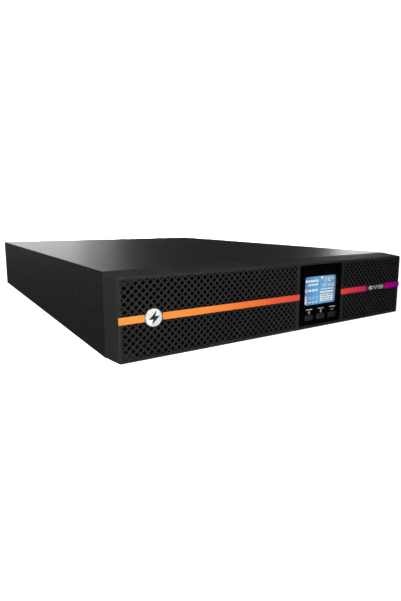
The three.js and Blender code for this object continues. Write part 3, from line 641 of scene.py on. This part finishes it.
def make_bezel():
    bm = bmesh.new()
    add_bezel_rim(bm)
    add_bezel_face(bm)
    add_bezel_ribs(bm)
    seat = [(BADGE_SEAT, 0.45), (BADGE_SEAT, 1.6), (3.7, 1.6), (3.7, 2.0)]
    seat += [(BADGE_SEAT + 0.6, 2.0), (BADGE_SEAT + 0.6, 0.45)]
    add_lathe(bm, seat, (BADGE.x, 0, BADGE.z))
    at = (0, FACE_Y, 0)
    make_piece("bezel_moulding", bm, "bezel", BEZEL, at, ["front_bezel"])


def make_filter():
    """Black foam behind the mesh, cut away at the corners for the latches. Its near-black colour is
    also painted shade for the hollow behind the holes.
    """
    bm = bmesh.new()
    side = LATCH_OUTER
    low, high = FACE_LOW + BORDER + 0.5, FACE_HIGH - BORDER - 0.5
    notch_x, notch_low, notch_high = LATCH_INNER - 0.3, LATCH_LOW + 0.3, LATCH_HIGH - 0.3
    for sign in (-1, 1):
        inner = DISPLAY.x + sign * (OPENING + 0.5)
        notch, edge = sign * notch_x, sign * side
        outline = [(inner, low), (notch, low), (notch, notch_low), (edge, notch_low)]
        outline += [(edge, notch_high), (notch, notch_high), (notch, high), (inner, high)]
        holes = [circle(4.6, 24, (BADGE.x, BADGE.z))] if sign < 0 else []
        add_plate(bm, outline, holes, PLATE_BACK + 0.8, PLATE_BACK + 2.8)
    make_piece("bezel_filter_and_shade", bm, "bezel", SHADE_FOAM, (0, FACE_Y, 0), smooth=False)


def make_badge():
    """A white disc with a lightning bolt, which turns on a spigot."""
    bm = bmesh.new()
    profile = [(0, -1.0), (7.9, -1.0), (8.35, -0.9), (8.65, -0.6), (8.75, -0.2), (8.75, 1.5)]
    profile += [(3, 1.5), (3, 4.2), (0, 4.2)]
    add_lathe(bm, profile, steps=64)
    at = (BADGE.x * MM, FACE_Y, BADGE.z * MM)
    make_piece("badge_disc", bm, "badge", WHITE, at, ["badge"])
    bolt = bmesh.new()
    outline = [(3.1, 7.2), (-5.9, -1.6), (-0.9, -1.6), (-3.1, -7.2), (5.9, 1.6), (0.9, 1.6)]
    add_prism(bolt, outline, -1.08, -0.9)
    make_piece("badge_bolt", bolt, "badge", INK, at, smooth=False)


def add_battery_sign(bm, x, y0, y1):
    for z in (-2.3, 2.3):
        add_bar(bm, (x, z), (x + 9, z), 0.9, y0, y1)
    for edge in (x + 0.4, x + 8.6):
        add_bar(bm, (edge, -2.7), (edge, 2.7), 0.9, y0, y1)
    add_bar(bm, (x + 9.6, -1.2), (x + 9.6, 1.2), 1.1, y0, y1)
    for k in range(3):
        add_bar(bm, (x + 2.2 + 2.3 * k, -1.3), (x + 2.2 + 2.3 * k, 1.3), 1.4, y0, y1)


def add_wave_sign(bm, x, y0, y1):
    """One and a half waves."""
    width, height, steps = 9.5, 2.2, 22
    points = [
        (x + width * k / steps, height * math.sin(3 * math.pi * k / steps))
        for k in range(steps + 1)
    ]
    for a, b in zip(points, points[1:]):
        add_bar(bm, a, b, 1.2, y0, y1)


def add_plug_sign(bm, x, y0, y1):
    add_prism(bm, rounded(x + 3, x + 8, -2.7, 2.7, 1.0), y0, y1)
    for z in (-1.4, 1.4):
        add_bar(bm, (x + 7.9, z), (x + 10.6, z), 1.0, y0, y1)
    add_bar(bm, (x, 0), (x + 3.2, 0), 1.1, y0, y1)


def make_nameplate_signs():
    """White signs on the black nameplate: a plug, a wave and a battery."""
    bm = bmesh.new()
    y0, y1 = -0.68, -0.5
    add_plug_sign(bm, -17.2, y0, y1)
    add_wave_sign(bm, -5.2, y0, y1)
    add_battery_sign(bm, 6.4, y0, y1)
    make_piece("nameplate_signs", bm, "bezel", PRINT, middle("nameplate"), smooth=False)


# ---- The display ----

WINDOW = 34.2  # half the window's width
PANE = (-0.7, 0.1)  # the front and back of the clear pane, and of the black front
MASK = (-0.8, 0.5)
VIEW_HALF = (27.2, 17.7)  # half the width and height of the part that shows the screen
VIEW_X = -1.7  # its middle, from the display's middle
VIEW_Z = middle("lcd_panel").z / MM - DISPLAY.z
KEY_Z = middle("button_select").z / MM - DISPLAY.z
KEY_NODES = ["button_power", "button_select", "button_enter"]
KEYS = [middle(node).x / MM - DISPLAY.x for node in KEY_NODES]
LCD_FACE = (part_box("lcd_panel")[0].y - FACE_Y) / MM


def keyholes():
    """Round-cornered holes, 0.4 wider than the keys on each side."""
    return [rounded(x - 7.4, x + 7.4, KEY_Z - 3.5, KEY_Z + 3.5, 1.2) for x in KEYS]


def view_outline(gap):
    """The part of the window that shows the screen, drawn in by a gap."""
    half_x, half_z = VIEW_HALF[0] - gap, VIEW_HALF[1] - gap
    return rounded(VIEW_X - half_x, VIEW_X + half_x, VIEW_Z - half_z, VIEW_Z + half_z, 3.0)


def make_window():
    """A gloss-black front with keyholes, and a clear pane over the screen."""
    at = DISPLAY * MM
    at.y = FACE_Y
    front = bmesh.new()
    outline = rounded(-WINDOW, WINDOW, -WINDOW, WINDOW, 1.0)
    add_plate(front, outline, [view_outline(0), *keyholes()], *MASK)
    glossy = make_piece(
        "window_front", front, "display_head", GLOSS, at, ["display_window"]
    )
    soften(glossy, 0.15)
    pane = bmesh.new()
    add_prism(pane, view_outline(0.1), *PANE)
    make_piece("window_pane", pane, "display_head", CLEAR, at)


def add_power_sign(bm, x, z, y0, y1):
    radius = 1.5
    turns = [math.radians(125 + 290 * k / 14) for k in range(15)]
    arc = [(x + radius * math.cos(a), z + radius * math.sin(a)) for a in turns]
    for a, b in zip(arc, arc[1:]):
        add_bar(bm, a, b, 0.5, y0, y1)
    add_bar(bm, (x, z + 0.4), (x, z + 2.0), 0.5, y0, y1)


def add_scroll_sign(bm, x, z, y0, y1):
    add_prism(bm, [(x - 1.8, z + 0.5), (x + 1.8, z + 0.5), (x, z + 2.4)], y0, y1)
    add_prism(bm, [(x, z - 2.2), (x + 1.8, z - 0.3), (x - 1.8, z - 0.3)], y0, y1)


def add_enter_sign(bm, x, z, y0, y1):
    add_bar(bm, (x + 2.0, z + 1.8), (x + 2.0, z - 0.3), 0.5, y0, y1)
    add_bar(bm, (x + 2.2, z - 0.3), (x - 0.9, z - 0.3), 0.5, y0, y1)
    add_prism(bm, [(x - 2.3, z - 0.3), (x - 0.7, z - 1.4), (x - 0.7, z + 0.8)], y0, y1)


def make_key_signs():
    """A printed sign and a short white bar above each key."""
    bm = bmesh.new()
    y0, y1 = MASK[0] - 0.03, MASK[0] + 0.1
    sign_z = KEY_Z + 6.7
    for x, add_sign in zip(KEYS, (add_power_sign, add_scroll_sign, add_enter_sign)):
        add_sign(bm, x, sign_z, y0, y1)
        add_bar(bm, (x - 5.5, sign_z + 3.7), (x + 5.5, sign_z + 3.7), 1.0, y0, y1)
    at = DISPLAY * MM
    at.y = FACE_Y
    make_piece("key_signs", bm, "display_head", PRINT, at, smooth=False)


# The seven strokes of a digit, as (start, end) on a grid one wide and two high.
STROKES = {
    "a": ((0, 2), (1, 2)),
    "b": ((1, 2), (1, 1)),
    "c": ((1, 1), (1, 0)),
    "d": ((0, 0), (1, 0)),
    "e": ((0, 0), (0, 1)),
    "f": ((0, 1), (0, 2)),
    "g": ((0, 1), (1, 1)),
}
DIGITS = {
    "0": "abcdef", "1": "bc", "2": "abged", "3": "abgcd", "4": "fgbc",
    "5": "afgcd", "6": "afgedc", "7": "abc", "8": "abcdefg", "9": "abcdfg",
}


def add_number(bm, text, x, z, width, y0, y1):
    """Seven-stroke digits, their lower left corner at x and z."""
    line = width * 0.26
    for place, digit in enumerate(text):
        left = x + place * width * 1.6
        for stroke in DIGITS[digit]:
            start, end = ((left + width * px, z + width * 0.95 * pz) for px, pz in STROKES[stroke])
            add_bar(bm, start, end, line, y0, y1)


def add_dashes(bm, x, z, lengths, height, y0, y1):
    """A row of short blocks, each a length long, from x to the right."""
    gap = 0.8
    for length in lengths:
        add_prism(bm, rectangle(x, x + length, z, z + height), y0, y1)
        x += length + gap


def make_screen_picture():
    """Generic readings: rows of blocks, a ring, a gauge, digits and a box of lines."""
    y0, y1 = LCD_FACE - 0.05, LCD_FACE + 0.05
    lit = bmesh.new()
    add_dashes(lit, -25, 10.4, (4, 3, 5, 4, 3), 2.9, y0, y1)
    add_dashes(lit, -20.6, 6.0, (5, 6, 5), 2.2, y0, y1)
    add_lathe(lit, [(2.2, y0), (2.2, y1), (1.2, y1), (1.2, y0)], (-23.8, 0, 0), 24)
    add_dashes(lit, -20.2, -1.2, (5, 7, 3), 2.5, y0, y1)
    add_prism(lit, rounded(-26, -22.6, -16.4, -6.6, 0.6), y0, y1)
    for k in range(3):
        add_number(lit, "12", -19.4 + 6.2 * k, -10.8, 1.5, y0, y1)
        add_dashes(lit, -19.6 + 6.2 * k, -15.4, (4.2,), 1.3, y0, y1)
    add_dashes(lit, 2, 13.8, (3.6,), 3.0, y0, y1)
    add_number(lit, "230", 8.4, 9.8, 2.7, y0, y1)
    add_number(lit, "50", 21.2, 12.0, 1.4, y0, y1)
    add_number(lit, "100", 3, 3.4, 2.0, y0, y1)
    add_number(lit, "45", 14.2, 3.4, 2.0, y0, y1)
    add_number(lit, "08", 21.2, 3.4, 1.6, y0, y1)
    add_dashes(lit, 2, -0.4, (3, 4, 3, 5, 4), 1.6, y0, y1)
    add_dashes(lit, 1, -4.6, (6, 3, 7, 5), 2.4, y0, y1)
    add_prism(lit, rounded(1, 24, -15.2, -6.2, 0.8), y0, y1)
    at = (DISPLAY + Vector((VIEW_X, 0, VIEW_Z))) * MM
    at.y = FACE_Y
    make_piece("screen_lit_marks", lit, "display_head", LIT, at, smooth=False)
    dim = bmesh.new()
    y0, y1 = y0 - 0.05, y0 + 0.02
    add_dashes(dim, -2.2, -16.5, (0.7,), 33, y0, y1)
    for z, lengths in ((-8.6, (6, 4, 8)), (-11.2, (8, 5, 4)), (-13.8, (4, 7, 5))):
        add_dashes(dim, 3, z, lengths, 1.0, y0, y1)
    for z in (-9.4, -12.2):
        add_dashes(dim, -25.2, z, (2,), 0.8, y0, y1)
    make_piece("screen_dim_marks", dim, "display_head", DIM, at, smooth=False)


# ---- The rear panel ----

GUARD_RINGS = (13, 21, 29, 37)
GUARD_EYE = 35.75 * math.sqrt(2)  # from the fan's middle to its screws, on a square of 71.5


def on_rear_panel(node):
    """The middle of a CAD node in X and Z, moved to the rear panel's outer face."""
    at = middle(node)
    at.y = REAR_Y
    return at


def make_fan_guard(number):
    """Welded wire: four rings, four spokes with eyes, and a round middle. Screws hold its eyes."""
    node = f"fan_{number}_guard"
    at = on_rear_panel(node)
    wire = 0.8
    bm = bmesh.new()
    for radius in GUARD_RINGS:
        add_ring_wire(bm, radius, wire, 2.5)
    turns = [math.radians(45 + 90 * k) for k in range(4)]
    spokes = [Vector((math.cos(a), 0, math.sin(a))) for a in turns]
    for spoke in spokes:
        start = spoke * 4 + Vector((0, 1.6, 0))
        end = spoke * (GUARD_EYE - 2.4) + Vector((0, 1.4, 0))
        add_rod(bm, start, end, wire)
        add_lathe(bm, [(1.9, 0.7), (1.9, 2.0), (3.4, 2.0), (3.4, 0.7)], spoke * GUARD_EYE, 24)
    add_lathe(bm, [(0, 1.2), (5.6, 1.2), (6, 1.5), (6, 2.7), (5.6, 3.0), (0, 3.0)], steps=32)
    make_piece(f"{node}_wire", bm, "chassis", ZINC, at, [node])
    screws = bmesh.new()
    for spoke in spokes:
        add_screw_head(screws, spoke * GUARD_EYE, 2.0, 3.0)
    make_piece(f"{node}_screws", screws, "chassis", ZINC, at)


def add_screw_head(bm, at, y, radius):
    """A low domed head that faces +Y, with a round socket sunk in its middle."""
    dome = [(0, y), (radius, y), (radius, y + 0.5), (radius * 0.75, y + 1.1)]
    dome += [(radius * 0.35, y + 1.3), (radius * 0.3, y + 0.7), (0, y + 0.6)]
    add_lathe(bm, dome, at, 20)


def make_thumbscrew(number):
    """A knurled thumbscrew with a washer face."""
    node = f"slot_screw_{number}"
    at = on_rear_panel(node)
    bm = bmesh.new()
    teeth = 28
    outline = []
    for k in range(teeth * 2):
        a = math.pi * k / teeth
        radius = 4.6 if k % 2 else 4.25
        outline.append((radius * math.cos(a), radius * math.sin(a)))
    add_prism(bm, outline, 3.4, 7.6)
    add_lathe(bm, [(0, 1.8), (3.2, 1.8), (3.2, 3.5), (0, 3.5)], steps=32)
    add_lathe(bm, [(0, 7.5), (4.2, 7.5), (3.9, 8.0), (1.2, 8.0), (1.0, 7.3), (0, 7.3)], steps=32)
    add_lathe(bm, [(0, -8), (1.2, -8), (1.5, -7.6), (1.5, 2), (0, 2)], steps=20)
    make_piece(f"{node}_knurled", bm, "chassis", ZINC, at, [node])


def make_side_screw(side, number):
    """A countersunk cover screw with a round socket, turned to face its side of the case."""
    node = f"side_screw_{side}_{number}"
    low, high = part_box(node)
    sign = -1 if side == "left" else 1
    bm = bmesh.new()
    profile = [(0, -6), (1.5, -6), (1.5, -1.2), (3.3, -0.5), (3.3, -0.12), (1.6, -0.1)]
    profile += [(1.4, -0.5), (0, -0.55)]
    add_lathe(bm, profile, steps=32)
    turn = Matrix.Rotation(math.radians(-90 * sign), 4, "Z")
    bmesh.ops.transform(bm, matrix=turn, verts=bm.verts)
    at = (sign * HALF * MM, (low.y + high.y) / 2, (low.z + high.z) / 2)
    make_piece(f"{node}_head", bm, "chassis", BLACK, at, [node])


def make_panel_signs():
    """White signs by the rear fittings: a number over each bank of outlets, and an earth sign."""
    bm = bmesh.new()
    y0, y1 = 0.02, 0.12
    for number, node in enumerate(("outlet_bank_1", "outlet_bank_2"), 1):
        low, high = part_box(node)
        add_number(bm, str(number), (low.x + high.x) / 2 / MM - 0.8, high.z / MM + 1.6, 1.6, y0, y1)
    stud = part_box("ground_stud")
    x, z = stud[1].x / MM + 4.5, (stud[0].z + stud[1].z) / 2 / MM
    add_bar(bm, (x, z + 3), (x, z + 0.6), 0.5, y0, y1)
    for k, width in enumerate((4.4, 2.8, 1.2)):
        level = z + 0.5 - 1.2 * k
        add_bar(bm, (x - width / 2, level), (x + width / 2, level), 0.5, y0, y1)
    make_piece("panel_signs", bm, "chassis", PRINT, (0, REAR_Y, 0), smooth=False)


# ---- Dressing the CAD nodes ----

LOOKS = {
    COAT: ["top_cover", "base_tray", "rear_panel", "slot_cover"],
    INNER_COAT: ["front_frame", "battery_tray"],
    GLOSS: ["display_housing"],
    BEZEL: ["display_carrier"],
    SCREEN: ["lcd_panel"],
    KEY: KEY_NODES,
    STRIPE: ["stripe_start", "stripe_middle", "stripe_right", "stripe_end"],
    INK: ["nameplate"],
    GREY: ["breaker_button"],
    ZINC: ["bay_divider", "tray_handle", "usb_port", "serial_port"],
    ALUMINIUM: ["heatsink_inverter", "heatsink_charger"],
    BRASS: ["ground_stud"],
    BOARD: ["main_board"],
    FERRITE: ["power_choke"],
    SLEEVE: ["bulk_capacitor_1", "bulk_capacitor_2", "battery_lead"],
    CASE: [f"battery_{k}" for k in range(1, 7)],
    RED: ["battery_plug", "battery_socket"],
    GREEN: ["shutdown_terminal"],
    BLACK: [
        "outlet_bank_1", "outlet_bank_2", "high_current_outlet", "power_inlet", "input_breaker",
        "network_jacks", "fan_1_housing", "fan_2_housing", "fan_1_rotor", "fan_2_rotor",
    ],
}
USUAL_EDGE = 0.3  # how far a node's edges are rounded, where its look gives no width of its own
EDGES = {COAT: 0.4, GLOSS: 0.5, KEY: 0.9, STRIPE: 0.2, INK: 0.2, CASE: 1.2, SCREEN: 0.1, RED: 0.8}

for look, names in LOOKS.items():
    for name in names:
        dress(name, look, EDGES.get(look, USUAL_EDGE))

make_bezel()
make_latches()
make_filter()
make_badge()
make_nameplate_signs()
make_window()
make_key_signs()
make_screen_picture()
make_panel_signs()
for fitting in (1, 2):
    make_fan_guard(fitting)
    make_thumbscrew(fitting)
    make_side_screw("left", fitting)
    make_side_screw("right", fitting)


# ---- Stage, light and camera ----


FLOOR_HALF = 12.0  # metres


def make_floor():
    """A pale floor, which the camera sees but no surface reflects."""
    bm = bmesh.new()
    corners = rectangle(-FLOOR_HALF, FLOOR_HALF, -FLOOR_HALF, FLOOR_HALF)
    bm.faces.new([bm.verts.new((x, y, 0)) for x, y in corners])
    mesh = bpy.data.meshes.new("floor")
    bm.to_mesh(mesh)
    bm.free()
    floor = bpy.data.objects.new("floor", mesh)
    bpy.context.scene.collection.objects.link(floor)
    paper = moulded("pale_floor", (0.5, 0.5, 0.5), 0.9, 0.05, 0.0)
    shader_of(paper).inputs["Emission Color"].default_value = (1, 1, 1, 1)
    shader_of(paper).inputs["Emission Strength"].default_value = 1.0
    mesh.materials.append(paper)
    floor.visible_glossy = False
    floor.visible_diffuse = False


def make_world():
    """White to the camera, and a dim even fill for everything else."""
    world = bpy.data.worlds.new("studio")
    bpy.context.scene.world = world
    world.use_nodes = True
    nodes, links = world.node_tree.nodes, world.node_tree.links
    nodes.clear()
    seen = nodes.new("ShaderNodeBackground")
    fill = nodes.new("ShaderNodeBackground")
    path = nodes.new("ShaderNodeLightPath")
    mix = nodes.new("ShaderNodeMixShader")
    output = nodes.new("ShaderNodeOutputWorld")
    seen.inputs["Strength"].default_value = 1.1
    seen.inputs["Color"].default_value = (1, 1, 1, 1)
    fill.inputs["Strength"].default_value = 0.014
    fill.inputs["Color"].default_value = (1, 1, 1, 1)
    links.new(path.outputs["Is Camera Ray"], mix.inputs[0])
    links.new(fill.outputs[0], mix.inputs[1])
    links.new(seen.outputs[0], mix.inputs[2])
    links.new(mix.outputs[0], output.inputs["Surface"])


def make_light(name, place, target, size, power, diffuse=True, glossy=True, spread=180):
    """A soft rectangular light, in metres and watts. Spread is its beam's angle in degrees."""
    data = bpy.data.lights.new(name, "AREA")
    data.shape = "RECTANGLE"
    data.size, data.size_y = size
    data.energy = power
    data.spread = math.radians(spread)
    light = bpy.data.objects.new(name, data)
    light.location = place
    aim = Vector(target) - Vector(place)
    light.rotation_euler = aim.to_track_quat("-Z", "Y").to_euler()
    light.visible_camera = False
    light.visible_diffuse = diffuse
    light.visible_glossy = glossy
    bpy.context.scene.collection.objects.link(light)


CAMERA_PLACE = Vector((-0.3581, JOINT_Y - 0.3977, 0.1374))
CAMERA_HEADING = 33.31  # degrees, turned from +Y towards +X
CAMERA_PITCH = 8.91  # degrees below level
CAMERA_ROLL = 0.12
FOCAL_SHARE = 0.71498  # focal length over the frame's height
SENSOR = 36.0
SHIFT = (-0.01398, -0.02529)


def heading(degrees, distance, height):
    """A point at a compass heading from the camera, turned from +Y towards +X."""
    a = math.radians(degrees)
    x = CAMERA_PLACE.x + distance * math.sin(a)
    y = CAMERA_PLACE.y + distance * math.cos(a)
    return (x, y, height)


def make_camera():
    data = bpy.data.cameras.new("camera")
    data.sensor_fit = "VERTICAL"
    data.sensor_height = SENSOR
    data.lens = SENSOR * FOCAL_SHARE
    data.shift_x, data.shift_y = SHIFT
    data.clip_start = 0.01
    camera = bpy.data.objects.new("camera", data)
    turn = Matrix.Rotation(math.radians(-CAMERA_HEADING), 4, "Z")
    tilt = Matrix.Rotation(math.radians(90 - CAMERA_PITCH), 4, "X")
    roll = Matrix.Rotation(math.radians(CAMERA_ROLL), 4, "Z")
    camera.matrix_world = Matrix.Translation(CAMERA_PLACE) @ turn @ tilt @ roll
    bpy.context.scene.collection.objects.link(camera)
    bpy.context.scene.camera = camera


def light_scene():
    """Soft lights, some of which show only in reflections and some of which cast light only."""
    make_world()
    unit = (0, 0, 0.05)
    front, rear = (-0.2, -0.3, 0.04), (0, 0.3, 0.04)
    grid_aim = (-0.27, -0.3, 0.04)
    make_light("overhead", (-0.4, -0.2, 2.8), unit, (2.2, 2.2), 11)
    make_light("front", (-0.62, -1.35, 0.45), front, (0.8, 0.7), 5.6, glossy=False)
    make_light("front_grid", (-0.4, -4.2, 1.0), grid_aim, (0.3, 0.3), 0.75, glossy=False, spread=16)
    make_light("front_left", (-2.0, -0.9, 0.6), (-0.2, -0.2, 0.04), (1.0, 0.8), 24)
    make_light("rear_left", (-1.5, 2.7, 0.9), rear, (1.2, 1.0), 4)
    make_light("rear_fill", (0.9, 2.7, 0.3), rear, (1.2, 0.6), 130, glossy=False)
    make_light("right_fill", (2.7, 0.3, 0.3), (0.2, 0, 0.04), (1.0, 0.6), 60, glossy=False)
    make_light("front_high_glow", (0.9, -2.46, 1.84), unit, (1.4, 1.0), 22, diffuse=False)
    make_light("left_glow", (-2.26, -2.04, 0.99), unit, (1.2, 0.8), 25, diffuse=False)
    make_light("back_left_glow", heading(3.4, 3.2, 0.62), unit, (1.56, 0.85), 15.3)
    make_light("back_left_fade", heading(18.6, 3.2, 0.62), unit, (0.28, 0.85), 0.9)
    make_light("right_glow", heading(52.3, 3.2, 0.4), unit, (0.28, 0.46), 4.5)


make_floor()
make_camera()
light_scene()
bpy.context.scene.view_settings.view_transform = "Standard"
